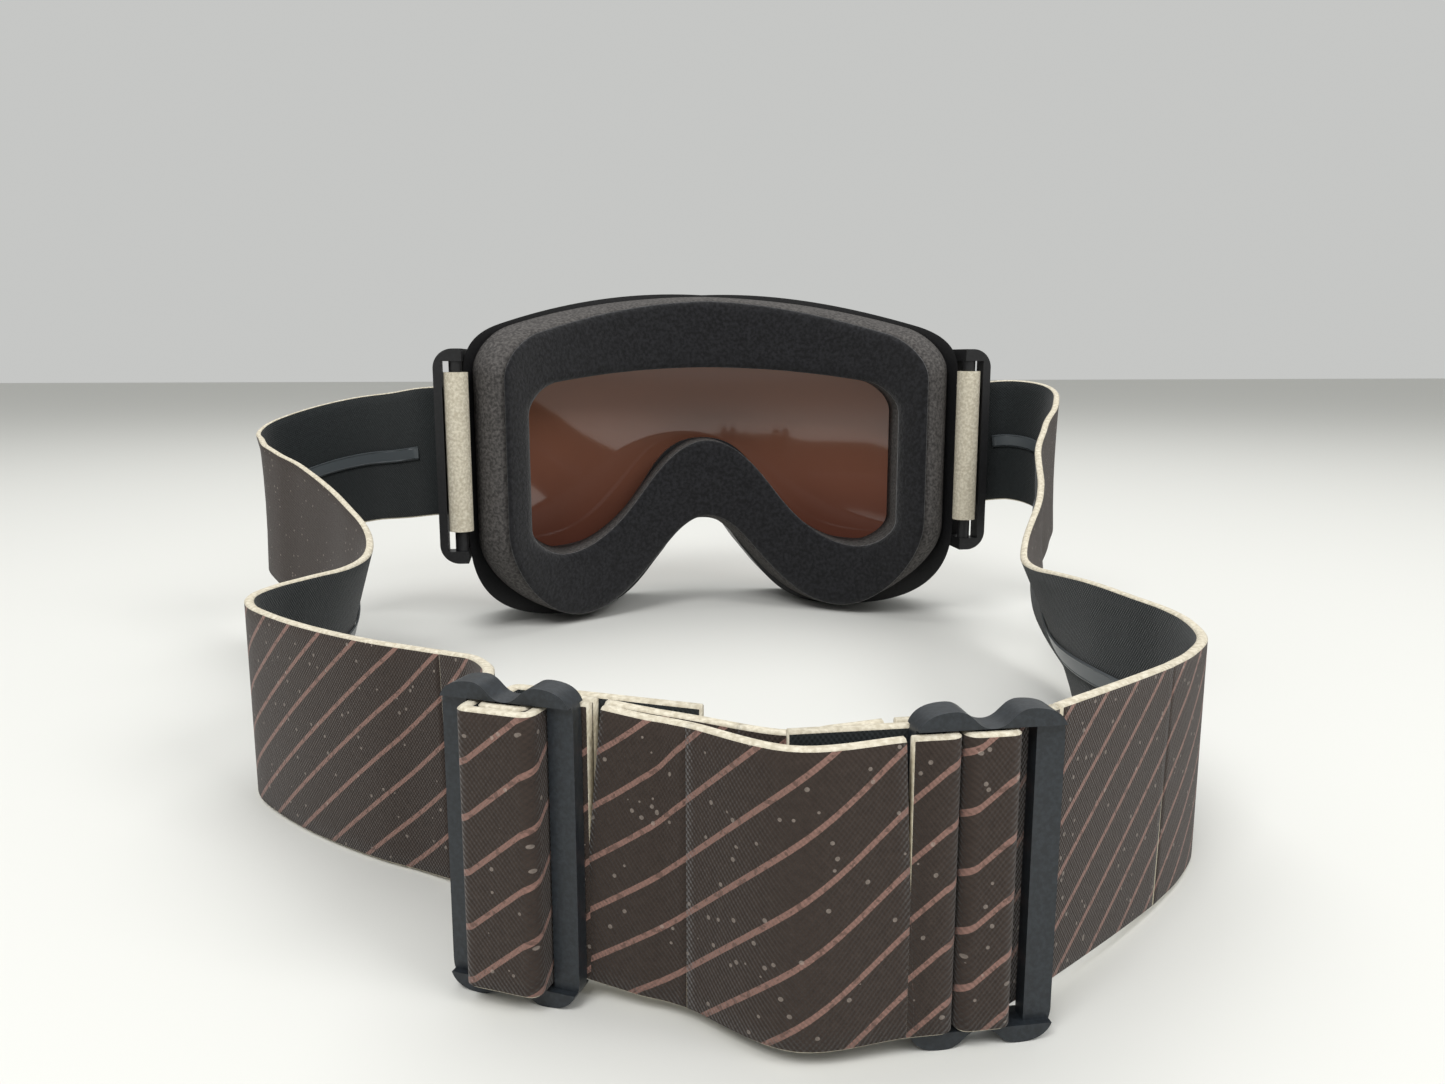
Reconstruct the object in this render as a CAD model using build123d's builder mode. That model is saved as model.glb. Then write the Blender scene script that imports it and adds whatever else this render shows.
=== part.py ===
from build123d import *
from math import atan2, cos, degrees, exp, pi, radians, sin
import os

# Ski goggles standing on a flat surface.
# Origin: on that surface, under the middle of the line between the two strap anchors.
# +X to the wearer's right, +Y forward out of the lens, +Z up. Millimetres.

# ---- goggles: overall sizes ----
frame_half_width = 80.0       # half the frame's width
frame_height = 110.0          # lobes on the surface to the top of the frame
nose_height = 31.0            # top of the frame's nose notch
face_radius = 84.0            # curve of the face seen from above
axis_y = -55.0                # every curved layer shares this upright axis

# ---- goggles: layers, measured outwards from the axis ----
fleece_thickness = 2.0
mid_foam_thickness = 6.0
base_foam_thickness = 7.5
flange_thickness = 2.2        # rear flange of the frame
chamber_depth = 9.3           # flange to the back of the inner lens
inner_lens_thickness = 1.2
gasket_thickness = 5.0        # air gap between the lenses
outer_lens_thickness = 1.8
lip_thickness = 1.5           # front lip that holds the outer lens
ledge_thickness = 2.5         # ledge behind the outer lens
lens_clearance = 0.15

# ---- goggles: how far each outline stands inside the frame's outline ----
wall = 2.4
base_foam_inset = 2.5
mid_foam_inset = 7.5
fleece_inset = 12.5
height_inset_share = 0.22     # layers shrink less in height than in width
lobe_from_centre = 44.0       # centre plane to the lowest point of each lobe
nose_half_width = 15.0        # half width of the nose notch above its middle

# ---- goggles: openings, half widths ----
fleece_opening = 60.5
mid_opening = 61.5
base_opening = 62.5
flange_opening = 63.5
brow_depth = 25.0             # frame top to the top of the openings
cheek_depth = 24.0            # frame bottom to the bottom of the openings
bridge_depth = 29.0           # frame's nose notch to the openings' nose arch
arch_half_width = 23.5        # half width of the nose arch at half its height

# ---- vents ----
top_slots = 7
top_slot_pitch = 10.5         # degrees about the axis
slot_length = 13.0
slot_width = 6.0
vent_foam_thickness = 3.0

# ---- outriggers ----
outrigger_reach = 88.5        # centre plane to the outer face of the outer bar
outrigger_low = 25.0
outrigger_high = 91.0
bar_width = 2.5               # outer bar
bar_depth = 5.8
arm_height = 3.8
plate_thickness = 2.6
plate_depth = 18.0
strap_bar_radius = 2.0
sleeve_radius = 3.7
sleeve_height = 48.8
anchor_x = 82.0
anchor_y = -0.6
anchor_z = 59.5

# ---- strap ----
strap_width = 40.0
strap_thickness = 1.8
layer_gap = 0.2               # between layers that lie on each other
grip_width = 4.0
grip_thickness = 0.5
left_lean = 16.0              # degrees, bottom edge out, at the inner bends
right_lean = 24.0             # the same for the right strap
lean_reach = 46.0             # how far from an inner bend the lean fades out

# ---- adjuster slides ----
slide_height = 45.4
slide_depth = 2.4             # bar thickness
rail_depth = 4.4
bar_clearance = 0.3           # bar to strap
slide_bar = 3.8               # width of an outer bar
middle_bar = 3.4
rail_dip = 2.4                # depth of the dip between the rail's two humps
rail_corner = 4.0             # height of the rail's rounded corners
tail_length = 25.0            # slide centre to the end of a sewn tail

# where the slides stand, and the direction of the strap through them
left_slide_at = (-60.2, -200.2)
left_slide_turn = -28.0
right_slide_at = (-0.9, -220.0)
right_slide_turn = 0.0

# the strap's middle line from each anchor to the slide: points chosen by hand
strap_high = anchor_z
strap_low = strap_width / 2 + 0.3
strap_slide = slide_height / 2
left_route = [
    (-81.8, 4.4, strap_high), (-91.0, 6.6, strap_high - 0.2), (-101.0, 13.2, 57.6),
    (-112.5, 20.3, 56.0), (-124.5, 24.2, 53.2), (-134.8, 23.4, 49.6), (-140.6, 17.0, 46.0),
    (-140.4, 7.0, 43.0), (-135.0, -3.0, 40.4), (-126.5, -13.5, 37.4), (-115.5, -29.6, 32.2),
    (-109.5, -44.0, 28.2), (-105.8, -57.0, 24.6), (-104.6, -70.0, 21.6), (-106.2, -83.0, strap_low),
    (-109.4, -94.5, strap_low), (-113.2, -104.5, strap_low), (-115.2, -113.6, strap_low),
    (-113.2, -122.5, strap_low), (-108.0, -131.0, strap_low), (-100.3, -140.6, strap_low),
    (-91.7, -149.4, strap_low), (-84.6, -155.6, strap_low), (-78.0, -160.4, strap_low),
    (-72.0, -165.4, strap_low + 0.2),
]
right_route = [
    (81.8, 4.4, strap_high), (90.0, 5.0, strap_high + 0.8), (98.5, 3.0, strap_high + 1.4),
    (104.0, -3.5, 60.0), (105.2, -12.0, 57.6), (102.0, -22.0, 54.0), (95.5, -32.0, 49.0),
    (88.6, -42.5, 42.5), (83.6, -53.5, 35.2), (79.2, -65.5, 29.2), (75.0, -78.0, 24.5),
    (70.8, -91.0, 20.8), (66.4, -105.5, strap_low - 0.6), (63.2, -119.0, strap_low - 0.4),
    (61.8, -131.0, strap_low), (62.4, -142.5, strap_low), (63.2, -153.5, strap_low),
    (61.8, -164.0, strap_low), (57.2, -175.2, strap_low), (48.8, -184.8, strap_low + 0.2),
    (39.8, -192.6, strap_low + 0.6),
]
left_link_points = [(-67.0, -171.6, strap_low + 0.8), (-64.4, -180.0, strap_low + 1.6)]
right_link_points = [(31.2, -199.2, strap_low + 1.2), (21.6, -206.2, strap_low + 1.8)]
left_bend = (-105.0, -66.0)
right_bend = (72.0, -92.0)

# ---- radii of the curved layers, from the face outwards ----
fleece_far = face_radius + fleece_thickness
mid_far = fleece_far + mid_foam_thickness
base_far = mid_far + base_foam_thickness
flange_far = base_far + flange_thickness
inner_lens_near = flange_far + chamber_depth
inner_lens_far = inner_lens_near + inner_lens_thickness
outer_lens_near = inner_lens_far + gasket_thickness
outer_lens_far = outer_lens_near + outer_lens_thickness
lip_near = outer_lens_far + lens_clearance
lip_far = lip_near + lip_thickness
ledge_far = outer_lens_near - lens_clearance
ledge_near = ledge_far - ledge_thickness

outline_plane = Plane.XZ.offset(20)   # outlines are drawn behind the face and extruded forward

os.makedirs("parts", exist_ok=True)


def outline(inset, rise):
    """Face of the goggles' outline, drawn inside the frame's by inset at the sides and rise in height."""
    width = frame_half_width - inset
    top = frame_height - rise
    notch = nose_height + rise
    slope = (nose_half_width + 0.6 * rise, rise + 0.62 * (notch - rise))
    slope_way = (-0.65, 0.76)
    with BuildSketch(outline_plane) as face:
        with BuildLine():
            brow = ThreePointArc((0, top), (0.5 * width, top - 2.8), (width - 11, top - 11))
            Spline(brow @ 1, (width, top - 26), tangents=(brow % 1, (0, -1)))
            Line((width, top - 26), (width, rise + 32))
            Spline((width, rise + 32), (lobe_from_centre, rise), tangents=((0, -1), (-1, 0)))
            Spline((lobe_from_centre, rise), slope, tangents=((-1, 0), slope_way))
            Spline(slope, (0, notch), tangents=(slope_way, (-1, 0)))
            mirror(about=Plane.YZ)
        make_face()
    return face.sketch


def opening(width):
    """Face of an opening for the eyes, with the arch over the nose."""
    top = frame_height - brow_depth
    arch = nose_height + bridge_depth
    slope = (arch_half_width, (arch + cheek_depth) / 2)
    slope_way = (-0.6, 0.8)
    with BuildSketch(outline_plane) as face:
        with BuildLine():
            brow = ThreePointArc((0, top), (0.55 * width, top - 1.4), (width - 9, top - 4.5))
            Spline(brow @ 1, (width, top - 15), tangents=(brow % 1, (0, -1)))
            Line((width, top - 15), (width, cheek_depth + 10))
            Spline((width, cheek_depth + 10), (width - 11, cheek_depth), tangents=((0, -1), (-1, 0)))
            Spline((width - 11, cheek_depth), slope, tangents=((-1, 0), slope_way))
            Spline(slope, (0, arch), tangents=(slope_way, (-1, 0)))
            mirror(about=Plane.YZ)
        make_face()
    return face.sketch


def curved_layer(outer, inner, near, far):
    """Layer between two radii about the axis, with the given outer face and an inner face cut out."""
    with BuildPart() as layer:
        extrude(outer, amount=far, dir=(0, 1, 0))
        if inner is not None:
            extrude(inner, amount=far, dir=(0, 1, 0), mode=Mode.SUBTRACT)
        with Locations((0, axis_y, frame_height / 2)):
            Cylinder(far, 2 * frame_height, mode=Mode.INTERSECT)
            Cylinder(near, 2 * frame_height, mode=Mode.SUBTRACT)
    return layer.part


def face_layer(inset, opening_width, near, far):
    """Foam layer or flange: the frame's outline inset, with an eye opening."""
    share = inset * height_inset_share
    return curved_layer(outline(inset, share), opening(opening_width), near, far)


def inset_face(inset):
    """The frame's outline drawn in by about the same distance all round."""
    return outline(inset, inset)


def inset_ring(outer_inset, inner_inset, near, far):
    """Ring of even width all round, such as a wall, a ledge or a gasket."""
    return curved_layer(inset_face(outer_inset), inset_face(inner_inset), near, far)


def save(piece, name):
    """Label a finished piece and write its STEP file."""
    piece.part.label = name
    export_step(piece.part, f"parts/{name}.step")


# ---- face foam: fleece skin, middle layer, base layer glued to the frame ----
with BuildPart() as face_fleece:
    add(face_layer(fleece_inset, fleece_opening, face_radius, fleece_far))
save(face_fleece, "face_fleece")

with BuildPart() as face_foam_middle:
    add(face_layer(mid_foam_inset, mid_opening, fleece_far, mid_far))
save(face_foam_middle, "face_foam_middle")

with BuildPart() as face_foam_base:
    add(face_layer(base_foam_inset, base_opening, mid_far, base_far))
save(face_foam_base, "face_foam_base")

# ---- frame: rear flange, side wall, lens ledge and front lip in one moulding ----
frame_rings = [
    face_layer(0, flange_opening, base_far, flange_far),
    inset_ring(0, wall, base_far, lip_far),
    inset_ring(wall / 2, wall + 3, ledge_near, ledge_far),
    inset_ring(wall / 2, wall + 1.6, lip_near, lip_far),
]
slot_radius = (flange_far + ledge_near) / 2
with BuildPart() as frame:
    for ring in frame_rings:
        add(ring)
    for index in range(top_slots):
        turn = (index - (top_slots - 1) / 2) * top_slot_pitch
        x = slot_radius * sin(radians(turn))
        y = axis_y + slot_radius * cos(radians(turn))
        with Locations(Location((x, y, frame_height - 12), (0, 0, -turn))):
            Box(slot_length, slot_width, 30, mode=Mode.SUBTRACT)
    for turn in (-30.0, -22.0, 22.0, 30.0):
        x = slot_radius * sin(radians(turn))
        y = axis_y + slot_radius * cos(radians(turn))
        with Locations(Location((x, y, 8), (0, 0, -turn))):
            Box(slot_length - 2, slot_width, 24, mode=Mode.SUBTRACT)
save(frame, "frame")


# ---- vent foam behind the slots ----
vent_ring = inset_ring(wall, wall + vent_foam_thickness, flange_far, ledge_near)
vent_boxes = {
    "top_vent_foam": (0, frame_height, 1.5 * frame_half_width, 34),
    "left_lower_vent_foam": (-0.62 * frame_half_width, 0, 32, 36),
    "right_lower_vent_foam": (0.62 * frame_half_width, 0, 32, 36),
}
for name, (x, z, length, height) in vent_boxes.items():
    with BuildPart() as vent_foam:
        add(vent_ring)
        with Locations((x, 0, z)):
            Box(length, 4 * frame_half_width, height, mode=Mode.INTERSECT)
    save(vent_foam, name)

# ---- lenses: outer lens in the frame's groove, inner lens held by a foam gasket ----
gasket_inset = wall + 6
with BuildPart() as outer_lens:
    lens_inset = wall + lens_clearance
    add(curved_layer(inset_face(lens_inset), None, outer_lens_near, outer_lens_far))
save(outer_lens, "outer_lens")

with BuildPart() as lens_gasket:
    add(inset_ring(gasket_inset, gasket_inset + 3, inner_lens_far, outer_lens_near))
save(lens_gasket, "lens_gasket")

with BuildPart() as inner_lens:
    add(curved_layer(inset_face(gasket_inset), None, inner_lens_near, inner_lens_far))
save(inner_lens, "inner_lens")

# ---- outriggers: loop, its tabs and the plate on the frame's side, with the strap bar and sleeve ----
loop_middle = (outrigger_low + outrigger_high) / 2
loop_height = outrigger_high - outrigger_low
loop_width = outrigger_reach - frame_half_width
loop_back = -3.0
plate_back = loop_back + bar_depth + 3.6
for side, sign in (("left", -1), ("right", 1)):
    middle_x = sign * (frame_half_width + loop_width / 2)
    bar_x = sign * (outrigger_reach - bar_width)
    with BuildPart() as outrigger:
        with BuildSketch(Plane.XZ.offset(-loop_back)):
            with Locations((middle_x, loop_middle)):
                Rectangle(loop_width, loop_height)
            outer_corners = vertices().group_by(Axis.X)[-1 if sign > 0 else 0]
            fillet(outer_corners, 6)
            with Locations((sign * frame_half_width, loop_middle)):
                Rectangle(2 * (loop_width - bar_width), loop_height - 2 * arm_height, mode=Mode.SUBTRACT)
        extrude(amount=-bar_depth)
        for z in (outrigger_low + arm_height / 2, outrigger_high - arm_height / 2):
            with Locations((sign * (frame_half_width + plate_thickness / 2), loop_back + bar_depth, z)):
                Box(plate_thickness, 5, arm_height, align=(Align.CENTER, Align.MIN, Align.CENTER))
        with Locations((sign * (frame_half_width + plate_thickness / 2), plate_back, loop_middle)):
            Box(plate_thickness, plate_depth, loop_height, align=(Align.CENTER, Align.MIN, Align.CENTER))
    save(outrigger, f"{side}_outrigger")

    with BuildPart() as strap_bar:
        with BuildSketch(Plane.XY.offset(outrigger_low + arm_height)):
            with Locations((sign * anchor_x, anchor_y)):
                Circle(strap_bar_radius)
        extrude(amount=loop_height - 2 * arm_height)
    save(strap_bar, f"{side}_strap_bar")

    with BuildPart() as sleeve:
        with BuildSketch(Plane.XY.offset(anchor_z - sleeve_height / 2)):
            with Locations((sign * anchor_x, anchor_y)):
                Circle(sleeve_radius)
                Circle(strap_bar_radius, mode=Mode.SUBTRACT)
        extrude(amount=sleeve_height)
    save(sleeve, f"{side}_anchor_sleeve")


# ---- adjuster slides: a wide middle bar and two outer bars between scalloped rails ----
# Each slide's own frame: x along the strap, y towards the goggles, z up.
loop_offset = slide_depth / 2 + bar_clearance + strap_thickness / 2     # strap lying on a bar
layer_step = strap_thickness + layer_gap                                # next layer out
slot_near = middle_bar / 2 + bar_clearance
slot_far = slot_near + strap_thickness + layer_step
outer_bar_near = slot_far + bar_clearance
slide_half = outer_bar_near + slide_bar
hump_x = slide_half / 2
left_plane = Plane(
    (*left_slide_at, 0), x_dir=(cos(radians(left_slide_turn)), sin(radians(left_slide_turn)), 0), z_dir=(0, 0, 1)
)
right_plane = Plane(
    (*right_slide_at, 0), x_dir=(cos(radians(right_slide_turn)), sin(radians(right_slide_turn)), 0), z_dir=(0, 0, 1)
)
strap_bottom = (slide_height - strap_width) / 2


def slide(plane):
    """Three-bar slide whose rails have two humps and a dip at the middle bar."""
    upright = Plane(plane.origin, x_dir=plane.x_dir, z_dir=-plane.y_dir)
    slot_height = strap_width + 0.6
    slot_z = slide_height / 2
    with BuildPart() as body:
        with BuildSketch(upright.offset(-rail_depth / 2)):
            with BuildLine():
                Line((-slide_half, rail_corner), (-slide_half, slide_height - rail_corner))
                Line((slide_half, rail_corner), (slide_half, slide_height - rail_corner))
                for edge, inward in ((0, 1), (slide_height, -1)):
                    corner = edge + inward * rail_corner
                    dip = edge + inward * rail_dip
                    for x in (-1, 1):
                        Spline(
                            (x * slide_half, corner), (x * hump_x, edge),
                            tangents=((0, -inward), (-x, 0)),
                        )
                        Spline((x * hump_x, edge), (0, dip), tangents=((-x, 0), (-x, 0)))
            make_face()
        extrude(amount=rail_depth)
        for level in (-1, 1):
            with BuildSketch(upright.offset(level * rail_depth / 2)):
                with Locations((0, slot_z)):
                    Rectangle(3 * slide_half, slot_height)
            extrude(amount=-level * (rail_depth - slide_depth) / 2, mode=Mode.SUBTRACT)
        with BuildSketch(upright.offset(rail_depth)):
            for x in (-(middle_bar / 2 + outer_bar_near) / 2, (middle_bar / 2 + outer_bar_near) / 2):
                with Locations((x, slot_z)):
                    Rectangle(outer_bar_near - middle_bar / 2, slot_height)
        extrude(amount=-2 * rail_depth, mode=Mode.SUBTRACT)
    return body


def band(plane, *points, radius=1.1):
    """Strap of full width that follows a line of points seen from above, rounded at its corners."""
    with BuildPart() as cloth:
        with BuildSketch(plane.offset(strap_bottom)):
            with BuildLine():
                if len(points) > 2:
                    FilletPolyline(*points, radius=radius)
                else:
                    Line(*points)
            trace(line_width=strap_thickness)
        extrude(amount=strap_width)
    return cloth


# depth of each layer behind the bars, and the places of the layers in the slots
front_1 = -loop_offset
front_2 = front_1 - layer_step
back_1 = loop_offset
back_2 = back_1 + layer_step
back_3 = back_2 + layer_step
slot_inner = slot_near + strap_thickness / 2
slot_outer = slot_inner + layer_step
wrap_end = slide_half + 0.6
tail_middle = (wrap_end + tail_length) / 2
left_entry = (-8.6, 8.5)      # where each strap turns out of its slot, towards its side run
right_entry = (12.0, 6.4)

save(slide(left_plane), "left_slide")
save(slide(right_plane), "right_slide")

# the left strap arches over the left slide's middle bar, outside the right strap's end loop
left_wrap = band(
    left_plane, left_entry, (-slot_outer, back_1 / 2), (-slot_outer, front_2),
    (slot_outer, front_2), (slot_outer, back_1), (wrap_end, back_1),
)
save(left_wrap, "left_strap_wrap")
right_end_loop = band(
    left_plane, (tail_length, back_3), (-slot_inner, back_3), (-slot_inner, front_1),
    (slot_inner, front_1), (slot_inner, back_2), (wrap_end, back_2),
)
save(right_end_loop, "right_strap_end_loop")

# the right strap arches over the right slide's middle bar; the left strap's end folds over its left bar
right_wrap = band(
    right_plane, right_entry, (slot_inner, back_1 / 2), (slot_inner, front_1),
    (-slot_inner, front_1), (-slot_inner, back_2), (-wrap_end, back_2),
)
save(right_wrap, "right_strap_wrap")
left_end_loop = band(
    right_plane, (-wrap_end, front_1), (-slot_outer, front_1), (-slot_outer, back_1),
    (-tail_length, back_1),
)
save(left_end_loop, "left_strap_end_loop")


# ---- strap runs: ribbons that turn and drop between the anchors and the slides ----
def fade(point, bend):
    """Share of the full lean at a point: one at the bend, none beyond the reach."""
    distance = ((point.X - bend[0]) ** 2 + (point.Y - bend[1]) ** 2) ** 0.5
    return cos(min(distance / lean_reach, 1) * pi / 2) ** 2


def ribbon(line, bend, lean, start, end, count, width=strap_width, thickness=strap_thickness, out=0.0):
    """Upright ribbon along part of a line; out moves it off the line, to the left of its direction."""
    with BuildPart() as cloth:
        for index in range(count + 1):
            place = start + (end - start) * index / count
            along = line % place
            across = along.cross(Vector(0, 0, 1)).normalized()
            across = across.rotate(Axis((0, 0, 0), along), lean * fade(line @ place, bend))
            with BuildSketch(Plane(line @ place, x_dir=across, z_dir=along)):
                with Locations((out, 0)):
                    Rectangle(thickness, width)
        loft(ruled=True)
    return cloth


def spot(plane, x, y):
    """Point in a slide's own frame, at the height of the strap's middle."""
    return plane.from_local_coords((x, y, slide_height / 2))


def heading(plane, start, end):
    """Direction from one point to another in a slide's own frame."""
    return (spot(plane, *end) - spot(plane, *start)).normalized()


with BuildLine() as left_line:
    Spline(*left_route)
with BuildLine() as right_line:
    Spline(*right_route)
with BuildLine() as left_link_line:
    Spline(
        left_line.line @ 1, *left_link_points, spot(left_plane, *left_entry),
        tangents=(left_line.line % 1, heading(left_plane, left_entry, (-slot_outer, back_1 / 2))),
    )
with BuildLine() as right_link_line:
    Spline(
        right_line.line @ 1, *right_link_points, spot(right_plane, *right_entry),
        tangents=(right_line.line % 1, heading(right_plane, right_entry, (slot_inner, back_1 / 2))),
    )
with BuildLine() as front_line:
    Spline(
        spot(left_plane, wrap_end, back_1), spot(left_plane, tail_middle, back_1 - layer_gap),
        spot(left_plane, tail_length, back_1 - 3 * layer_gap),
        spot(right_plane, -tail_length, front_1 + 3 * layer_gap), spot(right_plane, -wrap_end, front_1),
        tangents=(left_plane.x_dir, right_plane.x_dir),
    )
with BuildLine() as back_line:
    Spline(
        spot(left_plane, wrap_end, back_2), spot(left_plane, tail_middle, back_2),
        spot(left_plane, tail_length, back_2), spot(right_plane, -tail_length, back_2 + 2 * layer_gap),
        spot(right_plane, -tail_middle, back_2 + layer_gap), spot(right_plane, -wrap_end, back_2),
        tangents=(left_plane.x_dir, right_plane.x_dir),
    )

# side runs, which stay with the goggles
save(ribbon(left_line.line, left_bend, -left_lean, 0, 1, 48), "left_strap_run")
save(ribbon(right_line.line, right_bend, right_lean, 0, 1, 44), "right_strap_run")

# stretches beside the slides, which give way when a slide moves
save(ribbon(left_link_line.line, left_bend, 0, 0, 1, 10), "left_strap_link")
save(ribbon(right_link_line.line, right_bend, 0, 0, 1, 12), "right_strap_link")
save(ribbon(front_line.line, left_bend, 0, 0, 0.5, 6), "left_strap_back_outer_half")
save(ribbon(front_line.line, left_bend, 0, 0.5, 1, 6), "left_strap_back_inner_half")
save(ribbon(back_line.line, right_bend, 0, 0.5, 1, 6), "right_strap_back_outer_half")
save(ribbon(back_line.line, right_bend, 0, 0, 0.5, 6), "right_strap_back_inner_half")

# silicone grip lines on the strap's inner face
grip_out = (strap_thickness + grip_thickness) / 2 + layer_gap
left_grip = ribbon(left_line.line, left_bend, -left_lean, 0.05, 0.98, 46, grip_width, grip_thickness, -grip_out)
save(left_grip, "left_grip_line")
right_grip = ribbon(right_line.line, right_bend, right_lean, 0.05, 0.98, 42, grip_width, grip_thickness, grip_out)
save(right_grip, "right_grip_line")
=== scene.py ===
import bpy
import bmesh
from math import cos, pi, radians, sin, sqrt
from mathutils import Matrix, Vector


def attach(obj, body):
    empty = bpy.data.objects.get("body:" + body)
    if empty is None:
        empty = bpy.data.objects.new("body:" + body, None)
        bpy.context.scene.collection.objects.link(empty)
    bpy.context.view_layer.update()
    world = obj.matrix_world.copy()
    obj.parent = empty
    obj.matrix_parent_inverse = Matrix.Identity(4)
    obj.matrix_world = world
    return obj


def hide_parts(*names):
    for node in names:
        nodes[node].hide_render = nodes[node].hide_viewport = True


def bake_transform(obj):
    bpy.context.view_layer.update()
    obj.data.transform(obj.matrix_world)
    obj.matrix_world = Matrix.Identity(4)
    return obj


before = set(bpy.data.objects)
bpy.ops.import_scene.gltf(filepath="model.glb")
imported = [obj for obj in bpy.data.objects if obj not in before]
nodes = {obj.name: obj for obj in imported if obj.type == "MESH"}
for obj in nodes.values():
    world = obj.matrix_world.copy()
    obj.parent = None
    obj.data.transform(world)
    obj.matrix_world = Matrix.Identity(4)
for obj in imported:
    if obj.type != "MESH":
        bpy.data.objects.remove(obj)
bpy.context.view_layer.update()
MM = 0.001

# ---- sizes, in millimetres, as in the solid model ----
AXIS_Y = -55.0
HALF_WIDTH = 80.0
HEIGHT = 110.0
NOSE = 31.0
STRAP_WIDTH = 40.0
STRAP_THICK = 1.8
LOW = 20.3
HIGH = 59.5
SLIDE_MIDDLE = 22.7
BROW_DEPTH = 25.0             # frame top to the top of the eye opening
BRIDGE_DEPTH = 29.0           # frame's nose notch to the opening's nose arch
LEFT_SLIDE = ((-60.2, -200.2), -28.0)     # place and turn in degrees
RIGHT_SLIDE = ((-0.9, -220.0), 0.0)
LEFT_LEAN = (-16.0, (-105.0, -66.0))      # degrees, and the bend it fades out from
RIGHT_LEAN = (24.0, (72.0, -92.0))
LEAN_REACH = 46.0
GRIP_SHIFT = 1.35             # strap's middle line to the grip's
LAYER_SAG = 1.0               # dip of the layers between the slides

# ---- pattern of the elastic, in metres ----
RIB_PITCH = 0.0009
THREAD_PITCH = 0.0007
STRIPE_SPACING = 0.0079       # up the strap
STRIPE_RISE = 0.81            # height gained for each unit along the strap
STRIPE_SHARE = 0.125          # of the spacing that a stripe takes up
STRIPES_BEHIND = -0.118       # stripes are behind this Y only


# ---- materials ----
def colour(code):
    """Linear colour from an sRGB hex code."""
    parts = [int(code[i:i + 2], 16) / 255 for i in (1, 3, 5)]
    return [c / 12.92 if c <= 0.04045 else ((c + 0.055) / 1.055) ** 2.4 for c in parts] + [1.0]


def add_node(material, kind, inputs=None, **settings):
    """New shader node; inputs maps a socket to a value or to another node's output."""
    node = material.node_tree.nodes.new(kind)
    for key, value in settings.items():
        setattr(node, key, value)
    for key, value in (inputs or {}).items():
        if isinstance(value, bpy.types.NodeSocket):
            material.node_tree.links.new(value, node.inputs[key])
        else:
            node.inputs[key].default_value = value
    return node


def new_material(name, base, roughness, specular=0.5):
    """Material with its shader's uniform values set, and the shader node."""
    material = bpy.data.materials.new(name)
    material.use_nodes = True
    shader = material.node_tree.nodes["Principled BSDF"]
    shader.inputs["Base Color"].default_value = colour(base)
    shader.inputs["Roughness"].default_value = roughness
    shader.inputs["Specular IOR Level"].default_value = specular
    return material, shader


def link(material, output, socket):
    """Join an output to a socket."""
    material.node_tree.links.new(output, socket)


def bump(material, shader, height, strength, distance):
    """Bump the shader by a height."""
    node = add_node(
        material, "ShaderNodeBump", {"Height": height, "Strength": strength, "Distance": distance}
    )
    link(material, node.outputs[0], shader.inputs["Normal"])


def grained(name, base, second, roughness, grain, depth, specular=0.4):
    """Material with a fine grain: two tones and a bump, at a grain size in metres."""
    material, shader = new_material(name, base, roughness, specular)
    place = add_node(material, "ShaderNodeTexCoord").outputs["Object"]
    noise = add_node(
        material, "ShaderNodeTexNoise", {"Vector": place, "Scale": 1 / grain, "Detail": 4.0}
    ).outputs["Fac"]
    ramp = add_node(material, "ShaderNodeValToRGB", {"Fac": noise})
    ramp.color_ramp.elements[0].position = 0.38
    ramp.color_ramp.elements[0].color = colour(base)
    ramp.color_ramp.elements[1].position = 0.66
    ramp.color_ramp.elements[1].color = colour(second)
    link(material, ramp.outputs[0], shader.inputs["Base Color"])
    bump(material, shader, noise, 0.5, depth)
    return material, shader


def maths(material, operation, first, second=0.0, third=0.0):
    """Output of a maths node."""
    node = add_node(material, "ShaderNodeMath", {0: first, 1: second, 2: third}, operation=operation)
    return node.outputs[0]


def blended(material, share, under, code):
    """Output that mixes a share of a colour over what is under it."""
    inputs = {0: share, 6: under, 7: colour(code)}
    return add_node(material, "ShaderNodeMix", inputs, data_type="RGBA").outputs[2]


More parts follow.
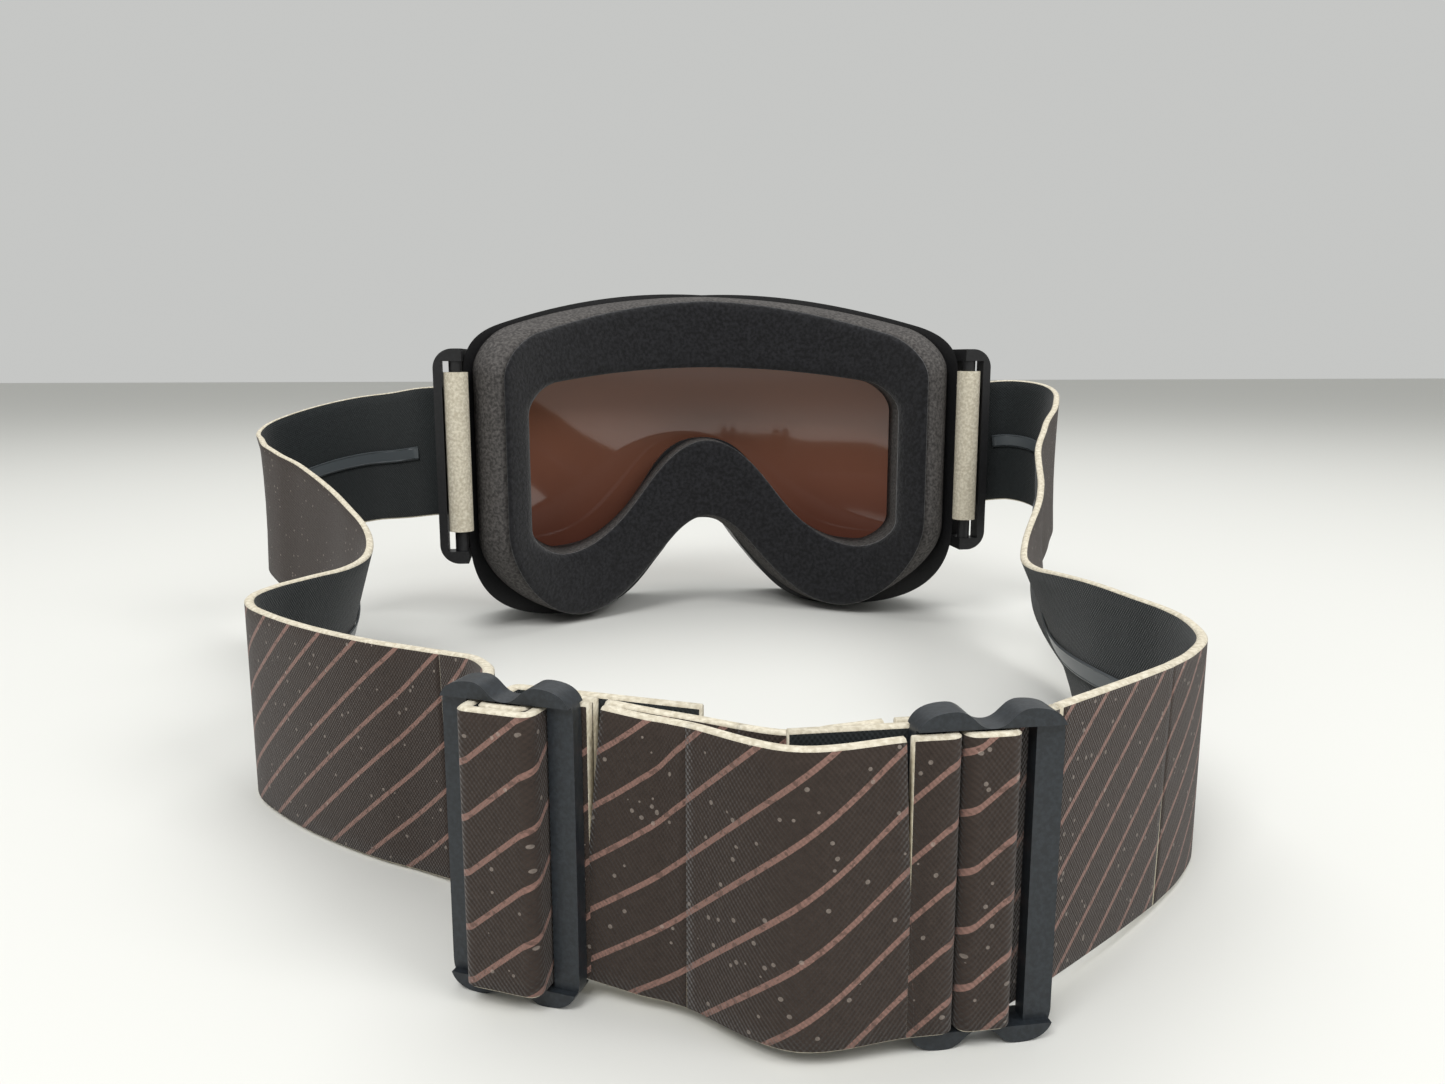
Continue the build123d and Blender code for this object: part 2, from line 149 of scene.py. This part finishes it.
def webbing(name, base, second, stripe=None, flecks=True):
    """Woven elastic: fine ribs across the width, lint flecks, and slanting stripes where asked."""
    material, shader = new_material(name, base, 0.86, 0.25)
    shader.inputs["Sheen Weight"].default_value = 0.15
    shader.inputs["Sheen Roughness"].default_value = 0.5
    uv = add_node(material, "ShaderNodeUVMap", uv_map="strap").outputs[0]
    split = add_node(material, "ShaderNodeSeparateXYZ", {"Vector": uv})
    along = split.outputs[0]
    height = split.outputs[1]
    # ribs of the weave, and a finer thread across them
    ribs = maths(material, "SINE", maths(material, "MULTIPLY", height, 2 * pi / RIB_PITCH))
    threads = maths(material, "SINE", maths(material, "MULTIPLY", along, 2 * pi / THREAD_PITCH))
    weave = maths(material, "MULTIPLY", ribs, threads)
    noise = add_node(
        material, "ShaderNodeTexNoise", {"Vector": uv, "Scale": 900.0, "Detail": 3.0}
    ).outputs["Fac"]
    result = blended(material, noise, colour(base), second)
    if stripe:
        slant = maths(material, "MULTIPLY_ADD", along, -STRIPE_RISE, height)
        phase = maths(material, "FRACT", maths(material, "DIVIDE", slant, STRIPE_SPACING))
        line = maths(material, "LESS_THAN", phase, STRIPE_SHARE)
        broken = maths(material, "GREATER_THAN", noise, 0.42)
        line = maths(material, "MULTIPLY", line, maths(material, "MULTIPLY_ADD", broken, 0.35, 0.5))
        # the stripes are only on the stretch round the back of the head
        place = add_node(material, "ShaderNodeTexCoord").outputs["Object"]
        back_of_head = add_node(material, "ShaderNodeSeparateXYZ", {"Vector": place}).outputs[1]
        line = maths(material, "MULTIPLY", line, maths(material, "LESS_THAN", back_of_head, STRIPES_BEHIND))
        result = blended(material, line, result, stripe)
    if flecks:
        lint = add_node(
            material, "ShaderNodeTexVoronoi", {"Vector": uv, "Scale": 420.0, "Randomness": 1.0}
        ).outputs["Distance"]
        spots = maths(material, "LESS_THAN", lint, 0.13)
        result = blended(material, maths(material, "MULTIPLY", spots, 0.4), result, "#a89c92")
    link(material, result, shader.inputs["Base Color"])
    bump(material, shader, maths(material, "MULTIPLY_ADD", weave, 0.5, noise), 0.55, 0.0003)
    return material


# black face fleece, short nap
fleece, fleece_shader = grained("black fleece", "#101012", "#232326", 0.95, 0.0011, 0.0006, 0.2)
fleece_shader.inputs["Sheen Weight"].default_value = 0.25
# charcoal open-cell foam
foam = grained("charcoal foam", "#3d3b3a", "#5d5a58", 0.95, 0.0009, 0.0005, 0.2)[0]
# dark reticulated vent foam
vent = grained("vent foam", "#1b1b1c", "#343435", 0.95, 0.0012, 0.0008, 0.2)[0]
# satin black moulded frame
frame_black = grained("satin black frame", "#141415", "#1b1b1d", 0.42, 0.0008, 0.00005)[0]
# satin blue-black slide plastic
slide_black = grained("blue-black plastic", "#1f2327", "#292e33", 0.38, 0.0006, 0.00005)[0]
# cream ribbed webbing sleeve and tape
cream = grained("cream webbing", "#b9b09c", "#d6cfbd", 0.85, 0.0008, 0.0004)[0]
# clear silicone lines on the inner face
silicone = new_material("silicone", "#4b5053", 0.3)[0]
# woven elastic faces
striped = webbing("striped elastic", "#2a211c", "#3d332d", "#8a6a60")
inner_face = webbing("elastic inner face", "#16191a", "#24292a", flecks=False)

# rose-brown tinted lens, darker towards the cheeks
lens, lens_shader = new_material("rose lens", "#8a5a45", 0.07, 0.6)
lens_place = add_node(lens, "ShaderNodeTexCoord").outputs["Object"]
lens_height = add_node(lens, "ShaderNodeSeparateXYZ", {"Vector": lens_place}).outputs[2]
lens_share = add_node(lens, "ShaderNodeMapRange", {
    "Value": lens_height, "From Min": 0.02, "From Max": 0.09,
})
lens_ramp = add_node(lens, "ShaderNodeValToRGB", {"Fac": lens_share.outputs[0]})
lens_ramp.color_ramp.elements[0].color = colour("#6b4034")
lens_ramp.color_ramp.elements[1].color = colour("#9a6a54")
link(lens, lens_ramp.outputs[0], lens_shader.inputs["Base Color"])
lens_shader.inputs["Coat Weight"].default_value = 0.5


# ---- mesh helpers ----
def new_piece(name, points, faces, materials, marks=None):
    """Mesh object from points in millimetres, with outward faces."""
    mesh = bpy.data.meshes.new(name)
    mesh.from_pydata([[c * MM for c in point] for point in points], [], faces)
    piece = bpy.data.objects.new(name, mesh)
    bpy.context.collection.objects.link(piece)
    for material in materials:
        mesh.materials.append(material)
    if marks:
        for polygon, mark in zip(mesh.polygons, marks):
            polygon.material_index = mark
    work = bmesh.new()
    work.from_mesh(mesh)
    bmesh.ops.recalc_face_normals(work, faces=work.faces)
    work.to_mesh(mesh)
    work.free()
    for polygon in mesh.polygons:
        polygon.use_smooth = True
    return piece


def hermite(start, end, way_a, way_b, count):
    """Points of a curve between two points with a direction at each end."""
    reach = sqrt((end[0] - start[0]) ** 2 + (end[1] - start[1]) ** 2)
    result = []
    for step in range(count):
        t = step / count
        a = 2 * t ** 3 - 3 * t ** 2 + 1
        b = t ** 3 - 2 * t ** 2 + t
        c = -2 * t ** 3 + 3 * t ** 2
        d = t ** 3 - t ** 2
        result.append(tuple(
            a * start[i] + b * reach * way_a[i] + c * end[i] + d * reach * way_b[i] for i in (0, 1)
        ))
    return result


def whole_curve(half):
    """Closed curve from its right half, which runs from the top middle to the bottom middle."""
    return half + [(-x, z) for x, z in reversed(half[1:-1])]


def outline(inset, rise):
    """The goggles' outline drawn in by inset at the sides and rise in height."""
    width = HALF_WIDTH - inset
    top = HEIGHT - rise
    notch = NOSE + rise
    slope = (15.0 + 0.6 * rise, rise + 0.62 * (notch - rise))
    way = (-0.65, 0.76)
    half = hermite((0, top), (width - 11, top - 11), (1, -0.02), (0.94, -0.34), 24)
    half += hermite((width - 11, top - 11), (width, top - 26), (0.94, -0.34), (0, -1), 16)
    half += hermite((width, top - 26), (width, rise + 32), (0, -1), (0, -1), 16)
    half += hermite((width, rise + 32), (44, rise), (0, -1), (-1, 0), 24)
    half += hermite((44, rise), slope, (-1, 0), way, 20)
    half += hermite(slope, (0, notch), way, (-1, 0), 12)
    return whole_curve(half + [(0, notch)])


def opening(width):
    """The eye opening with its arch over the nose."""
    top = HEIGHT - BROW_DEPTH
    arch = NOSE + BRIDGE_DEPTH
    slope = (23.5, (arch + 24) / 2)
    way = (-0.6, 0.8)
    half = hermite((0, top), (width - 9, top - 4.5), (1, 0.0), (0.98, -0.17), 24)
    half += hermite((width - 9, top - 4.5), (width, top - 15), (0.98, -0.17), (0, -1), 16)
    half += hermite((width, top - 15), (width, 34), (0, -1), (0, -1), 16)
    half += hermite((width, 34), (width - 11, 24), (0, -1), (-1, 0), 24)
    half += hermite((width - 11, 24), slope, (-1, 0), way, 20)
    half += hermite(slope, (0, arch), way, (-1, 0), 12)
    return whole_curve(half + [(0, arch)])


def moved(curve, distance):
    """Closed curve with each point moved outwards by a distance."""
    result = []
    for index, (x, z) in enumerate(curve):
        before = curve[index - 1]
        after = curve[(index + 1) % len(curve)]
        dx = after[0] - before[0]
        dz = after[1] - before[1]
        size = sqrt(dx * dx + dz * dz) or 1
        result.append((x - dz / size * distance, z + dx / size * distance))
    return result


def ring(name, loops, material, keep=None):
    """Piece that follows closed curves at given radii about the upright axis; keep picks a stretch."""
    count = len(loops[0][0])
    chosen = [i for i in range(count) if keep is None or keep(*loops[0][0][i])]
    if keep is not None:
        gap = next((k for k in range(1, len(chosen)) if chosen[k] - chosen[k - 1] > 1), 0)
        chosen = chosen[gap:] + chosen[:gap]
    points = []
    for curve, radius in loops:
        for index in chosen:
            x, z = curve[index]
            points.append((x, AXIS_Y + sqrt(radius * radius - x * x), z))
    size = len(chosen)
    spans = size if keep is None else size - 1
    faces = []
    for layer in range(len(loops)):
        a = layer * size
        b = ((layer + 1) % len(loops)) * size
        for i in range(spans):
            j = (i + 1) % size
            faces.append((a + i, a + j, b + j, b + i))
    if keep is not None:
        faces.append([k * size for k in range(len(loops))])
        faces.append([k * size + size - 1 for k in reversed(range(len(loops)))])
    return new_piece(name, points, faces, [material])


# ---- face foam: fleece skin over a charcoal foam with one smooth side ----
fleece_edge = outline(12.5, 2.75)
eye = opening(60.5)
fleece_piece = ring("fleece", [
    (fleece_edge, 86.0), (fleece_edge, 85.2), (moved(fleece_edge, -0.5), 84.5),
    (moved(fleece_edge, -1.6), 84.1), (moved(fleece_edge, -3.5), 84.0), (moved(eye, 3.0), 84.0),
    (moved(eye, 1.4), 84.1), (moved(eye, 0.5), 84.6), (eye, 85.4), (eye, 86.0),
], fleece)
foam_piece = ring("face_foam", [
    (moved(fleece_edge, -0.3), 86.05), (outline(10.8, 2.4), 87.3), (outline(8.6, 1.9), 89.6),
    (outline(6.2, 1.4), 92.4), (outline(4.2, 0.95), 95.6), (outline(2.9, 0.65), 98.4),
    (outline(2.5, 0.55), 99.45), (opening(62.5), 99.45), (opening(61.6), 93.0), (moved(eye, 0.2), 86.05),
], foam)
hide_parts("face_fleece")
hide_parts("face_foam_middle", "face_foam_base")
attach(fleece_piece, "goggles")
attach(foam_piece, "goggles")

# ---- foam behind the vents and between the lenses ----
vent_loops = [
    (outline(2.5, 2.5), 102.6), (outline(2.5, 2.5), 113.6), (outline(3.2, 3.2), 114.4),
    (outline(4.7, 4.7), 114.4), (outline(5.3, 5.3), 113.6), (outline(5.3, 5.3), 102.6),
    (outline(4.7, 4.7), 101.8), (outline(3.2, 3.2), 101.8),
]
gasket_loops = [
    (outline(8.5, 8.5), 113.0), (outline(8.5, 8.5), 116.4), (outline(9.1, 9.1), 117.1),
    (outline(10.7, 10.7), 117.1), (outline(11.3, 11.3), 116.4), (outline(11.3, 11.3), 113.0),
    (outline(10.7, 10.7), 112.3), (outline(9.1, 9.1), 112.3),
]
small_foams = {
    "top_vent_foam": (vent_loops, "vent_foam", lambda x, z: z > 93 and abs(x) < 60),
    "left_lower_vent_foam": (vent_loops, "vent_foam", lambda x, z: z < 18 and -65.6 < x < -33.6),
    "right_lower_vent_foam": (vent_loops, "vent_foam", lambda x, z: z < 18 and 33.6 < x < 65.6),
    "lens_gasket": (gasket_loops, "gasket_foam", None),
}
for name, (loops, slot_name, keep) in small_foams.items():
    piece = ring(name + "_soft", loops, vent, keep)
    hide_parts(name)
    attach(piece, "goggles")


# ---- strap ----
def smooth_path(points, steps):
    """Points of a smooth curve through the given points."""
    result = []
    for index in range(len(points) - 1):
        p1 = Vector(points[index])
        p2 = Vector(points[index + 1])
        p0 = Vector(points[index - 1]) if index else 2 * p1 - p2
        p3 = Vector(points[index + 2]) if index + 2 < len(points) else 2 * p2 - p1
        for step in range(steps):
            t = step / steps
            result.append(0.5 * (
                2 * p1 + (p2 - p0) * t + (2 * p0 - 5 * p1 + 4 * p2 - p3) * t * t
                + (3 * p1 - p0 - 3 * p2 + p3) * t ** 3
            ))
    result.append(Vector(points[-1]))
    return result


def cornered_path(points, reach=1.1):
    """Points of a polyline with rounded corners."""
    points = [Vector(point) for point in points]
    result = [points[0]]
    for before, corner, after in zip(points, points[1:], points[2:]):
        first = corner + (before - corner).normalized() * min(reach, 0.5 * (before - corner).length)
        last = corner + (after - corner).normalized() * min(reach, 0.5 * (after - corner).length)
        for step in range(7):
            t = step / 6
            result.append(first * (1 - t) ** 2 + corner * 2 * t * (1 - t) + last * t * t)
    result.append(points[-1])
    return result


def strap_piece(
    name, path, outer, materials,
    width=STRAP_WIDTH, thick=STRAP_THICK, lean=0.0, bend=None, shift=0.0, begun=0.0,
):
    """Ribbon along a path, with rounded edges; outer is 1 where its outer face is right of its direction.
    begun is how much of its strap comes before it, so that the pattern runs on."""
    half = width / 2
    rows = [-half, -half + 0.35] + [-half + width * k / 12 for k in range(1, 12)] + [half - 0.35, half]
    profile = [(thick / 2 * (0.55 if abs(row) == half else 1), row) for row in rows]
    profile += [(-across, row) for across, row in reversed(profile)]
    size = len(profile)
    points = []
    stations = []
    distance = 0.0
    for index, place in enumerate(path):
        before = path[max(index - 1, 0)]
        after = path[min(index + 1, len(path) - 1)]
        way = (after - before).normalized()
        side = way.cross(Vector((0, 0, 1))).normalized()
        if bend:
            far = sqrt((place.x - bend[0]) ** 2 + (place.y - bend[1]) ** 2)
            turn = radians(lean) * cos(min(far / LEAN_REACH, 1) * pi / 2) ** 2
            side = side * cos(turn) + way.cross(side) * sin(turn)
        up = side.cross(way)
        if index:
            distance += (place - path[index - 1]).length
        stations.append(distance)
        for across, row in profile:
            points.append(place + side * (across * outer + shift) + up * row)
    faces = []
    marks = []
    places = []
    face_rows = len(rows)
    for index in range(len(path) - 1):
        for k in range(size):
            j = (k + 1) % size
            a = index * size
            b = a + size
            faces.append((a + k, a + j, b + j, b + k))
            if k in (0, face_rows - 2, face_rows - 1, face_rows, size - 2, size - 1):
                marks.append(2)
            else:
                marks.append(0 if k < face_rows - 1 else 1)
    faces.append(list(range(size)))
    faces.append(list(range(len(points) - size, len(points))))
    marks += [2, 2]
    piece = new_piece(name, points, faces, materials, marks)
    layer = piece.data.uv_layers.new(name="strap")
    for loop in piece.data.loops:
        station, k = divmod(loop.vertex_index, size)
        layer.data[loop.index].uv = (outer * (begun + stations[station] * MM), (profile[k][1] + half) * MM)
    return piece, stations[-1] * MM


def slide_point(at, turn, x, y):
    """Point in a slide's own frame: x along the strap, y towards the goggles."""
    c = cos(radians(turn))
    s = sin(radians(turn))
    return (at[0] + x * c - y * s, at[1] + x * s + y * c, SLIDE_MIDDLE)


def left_point(x, y):
    """Point in the left slide's own frame."""
    return slide_point(*LEFT_SLIDE, x, y)


def right_point(x, y):
    """Point in the right slide's own frame."""
    return slide_point(*RIGHT_SLIDE, x, y)


LEFT_ROUTE = [
    (-81.8, 4.4, HIGH), (-91.0, 6.6, HIGH - 0.2), (-101.0, 13.2, 57.6), (-112.5, 20.3, 56.0),
    (-124.5, 24.2, 53.2), (-134.8, 23.4, 49.6), (-140.6, 17.0, 46.0), (-140.4, 7.0, 43.0),
    (-135.0, -3.0, 40.4), (-126.5, -13.5, 37.4), (-115.5, -29.6, 32.2), (-109.5, -44.0, 28.2),
    (-105.8, -57.0, 24.6), (-104.6, -70.0, 21.6), (-106.2, -83.0, LOW), (-109.4, -94.5, LOW),
    (-113.2, -104.5, LOW), (-115.2, -113.6, LOW), (-113.2, -122.5, LOW), (-108.0, -131.0, LOW),
    (-100.3, -140.6, LOW), (-91.7, -149.4, LOW), (-84.6, -155.6, LOW), (-78.0, -160.4, LOW),
    (-72.0, -165.4, LOW + 0.2),
]
RIGHT_ROUTE = [
    (81.8, 4.4, HIGH), (90.0, 5.0, HIGH + 0.8), (98.5, 3.0, HIGH + 1.4), (104.0, -3.5, 60.0),
    (105.2, -12.0, 57.6), (102.0, -22.0, 54.0), (95.5, -32.0, 49.0), (88.6, -42.5, 42.5),
    (83.6, -53.5, 35.2), (79.2, -65.5, 29.2), (75.0, -78.0, 24.5), (70.8, -91.0, 20.8),
    (66.4, -105.5, LOW - 0.6), (63.2, -119.0, LOW - 0.4), (61.8, -131.0, LOW), (62.4, -142.5, LOW),
    (63.2, -153.5, LOW), (61.8, -164.0, LOW), (57.2, -175.2, LOW), (48.8, -184.8, LOW + 0.2),
    (39.8, -192.6, LOW + 0.6),
]
# layers in the slides: depths of the layers lying on the bars, and their places in the slots
FRONT_1 = -2.4
FRONT_2 = -4.4
BACK_1 = 2.4
BACK_2 = 4.4
BACK_3 = 6.4
SLOT_INNER = 2.9
SLOT_OUTER = 4.9
WRAP_END = 10.5
TAIL = 25.0
LEFT_ENTRY = (-8.6, 8.5)
RIGHT_ENTRY = (12.0, 6.4)

left_link = smooth_path([
    LEFT_ROUTE[-1], (-67.0, -171.6, LOW + 0.8), (-64.4, -180.0, LOW + 1.6), left_point(*LEFT_ENTRY),
], 8)
right_link = smooth_path([
    RIGHT_ROUTE[-1], (31.2, -199.2, LOW + 1.2), (21.6, -206.2, LOW + 1.8), right_point(*RIGHT_ENTRY),
], 8)
left_wrap = cornered_path([
    left_point(*LEFT_ENTRY), left_point(-SLOT_OUTER, BACK_1 / 2), left_point(-SLOT_OUTER, FRONT_2),
    left_point(SLOT_OUTER, FRONT_2), left_point(SLOT_OUTER, BACK_1), left_point(WRAP_END, BACK_1),
])
right_end = cornered_path([
    left_point(TAIL, BACK_3), left_point(-SLOT_INNER, BACK_3), left_point(-SLOT_INNER, FRONT_1),
    left_point(SLOT_INNER, FRONT_1), left_point(SLOT_INNER, BACK_2), left_point(WRAP_END, BACK_2),
])
right_wrap = cornered_path([
    right_point(*RIGHT_ENTRY), right_point(SLOT_INNER, BACK_1 / 2), right_point(SLOT_INNER, FRONT_1),
    right_point(-SLOT_INNER, FRONT_1), right_point(-SLOT_INNER, BACK_2), right_point(-WRAP_END, BACK_2),
])
left_end = cornered_path([
    right_point(-WRAP_END, FRONT_1), right_point(-SLOT_OUTER, FRONT_1), right_point(-SLOT_OUTER, BACK_1),
    right_point(-TAIL, BACK_1),
])
front = smooth_path([
    left_point(WRAP_END, BACK_1), left_point(17.7, BACK_1 - 0.2), left_point(TAIL, BACK_1 - 0.6),
    right_point(-TAIL, FRONT_1 + 0.6), right_point(-WRAP_END, FRONT_1),
], 8)
back = smooth_path([
    left_point(WRAP_END, BACK_2), left_point(17.7, BACK_2), left_point(TAIL, BACK_2),
    right_point(-TAIL, BACK_2 + 0.4), right_point(-17.7, BACK_2 + 0.2), right_point(-WRAP_END, BACK_2),
], 8)
for path in (front, back):
    for index, place in enumerate(path):
        place.z -= LAYER_SAG * sin(pi * index / (len(path) - 1))
front_half = len(front) // 2
back_half = len(back) // 2
STRIPED = [striped, inner_face, cream]
strap_pieces = {
    "left_strap_run": (smooth_path(LEFT_ROUTE, 6), 1, STRIPED, ("goggles",), "left_anchor_sleeve"),
    "right_strap_run": (smooth_path(RIGHT_ROUTE, 6), -1, STRIPED, ("goggles",), "right_anchor_sleeve"),
    "left_strap_link": (left_link, 1, STRIPED, ("goggles", "left_adjuster"), "left_slide"),
    "right_strap_link": (right_link, -1, STRIPED, ("goggles", "right_adjuster"), "right_slide"),
    "left_strap_wrap": (left_wrap, 1, STRIPED, ("left_adjuster",), "left_slide"),
    "right_strap_end_loop": (right_end, 1, STRIPED, ("left_adjuster",), "left_slide"),
    "right_strap_wrap": (right_wrap, -1, STRIPED, ("right_adjuster",), "right_slide"),
    "left_strap_end_loop": (left_end, 1, STRIPED, ("right_adjuster",), "right_slide"),
    "left_strap_back_outer_half": (
        front[:front_half + 1], 1, STRIPED, ("left_adjuster", "goggles"), "left_slide"),
    "left_strap_back_inner_half": (
        front[front_half:], 1, STRIPED, ("goggles", "right_adjuster"), "right_slide"),
    "right_strap_back_inner_half": (
        back[:back_half + 1], 1, STRIPED, ("left_adjuster", "goggles"), "left_slide"),
    "right_strap_back_outer_half": (
        back[back_half:], 1, STRIPED, ("goggles", "right_adjuster"), "right_slide"),
}
leans = {"left_strap_run": LEFT_LEAN, "right_strap_run": RIGHT_LEAN}
follows = {
    "left_strap_link": "left_strap_run",
    "right_strap_link": "right_strap_run",
    "left_strap_wrap": "left_strap_link",
    "right_strap_wrap": "right_strap_link",
    "left_strap_back_outer_half": "left_strap_wrap",
    "left_strap_back_inner_half": "left_strap_back_outer_half",
    "right_strap_back_outer_half": "right_strap_back_inner_half",
}
ends = {}
for name, (path, outer, materials, bodies, rest) in strap_pieces.items():
    lean, bend = leans.get(name, (0.0, None))
    begun = ends.get(follows.get(name), 0.0)
    piece, length = strap_piece(
        name + "_cloth", path, outer, materials, lean=lean, bend=bend, begun=begun)
    ends[name] = begun + length
    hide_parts(name)
    if len(bodies) == 1:
        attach(piece, bodies[0])
    else:
        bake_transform(piece)

# silicone grip lines on the inner faces
grips = {
    "left_grip_line": (LEFT_ROUTE, -GRIP_SHIFT, *LEFT_LEAN),
    "right_grip_line": (RIGHT_ROUTE, GRIP_SHIFT, *RIGHT_LEAN),
}
for name, (route, shift, lean, bend) in grips.items():
    path = smooth_path(route, 6)[8:-4]
    piece = strap_piece(
        name + "_bead", path, 1, [silicone] * 3, width=4.0, thick=0.5, lean=lean, bend=bend, shift=shift,
    )[0]
    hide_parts(name)
    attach(piece, "goggles")


# ---- moulded pieces keep their solid shapes ----
finishes = {
    "frame": (frame_black, "frame_rubber"),
    "outer_lens": (lens, "rose_lens"),
    "inner_lens": (lens, "rose_lens"),
    "left_outrigger": (frame_black, "black_plastic"),
    "right_outrigger": (frame_black, "black_plastic"),
    "left_strap_bar": (frame_black, "black_plastic"),
    "right_strap_bar": (frame_black, "black_plastic"),
    "left_anchor_sleeve": (cream, "cream_webbing"),
    "right_anchor_sleeve": (cream, "cream_webbing"),
    "left_slide": (slide_black, "slide_plastic"),
    "right_slide": (slide_black, "slide_plastic"),
}
for name, (material, slot_name) in finishes.items():
    node = nodes[name]
    node.data.materials.clear()
    node.data.materials.append(material)


# ---- floor, lights and camera ----
floor_paint = new_material("pale floor", "#d6d6d2", 0.9, 0.2)[0]
bpy.ops.mesh.primitive_plane_add(size=8, location=(0, 0, 0))
floor = bpy.context.object
floor.name = "floor"
floor.data.materials.append(floor_paint)


def softbox(name, place, target, size, power):
    """Square area light aimed at a point."""
    data = bpy.data.lights.new(name, "AREA")
    data.size = size
    data.energy = power
    lamp = bpy.data.objects.new(name, data)
    bpy.context.collection.objects.link(lamp)
    lamp.location = place
    lamp.rotation_euler = (Vector(target) - Vector(place)).to_track_quat("-Z", "Y").to_euler()


softbox("key", (-0.45, -0.75, 1.0), (0, -0.08, 0.04), 0.5, 7.5)
softbox("fill", (0.6, -0.7, 0.8), (0, -0.08, 0.04), 0.5, 4.5)
softbox("top", (0.0, 0.3, 1.1), (0, -0.05, 0.04), 0.9, 6)

world = bpy.data.worlds.new("studio")
bpy.context.scene.world = world
world.use_nodes = True
back_light = world.node_tree.nodes["Background"]
back_light.inputs[0].default_value = colour("#e2e3e1")
back_light.inputs[1].default_value = 0.74

camera_data = bpy.data.cameras.new("camera")
camera = bpy.data.objects.new("camera", camera_data)
bpy.context.collection.objects.link(camera)
camera_data.sensor_width = 36.0
camera_data.lens = 27.03
camera_data.clip_start = 0.01
camera.location = (-0.0540, -0.3433, 0.0880)
camera.rotation_euler = (radians(80.4), 0, radians(-9.0))
bpy.context.scene.camera = camera
bpy.context.scene.view_settings.view_transform = "Standard"
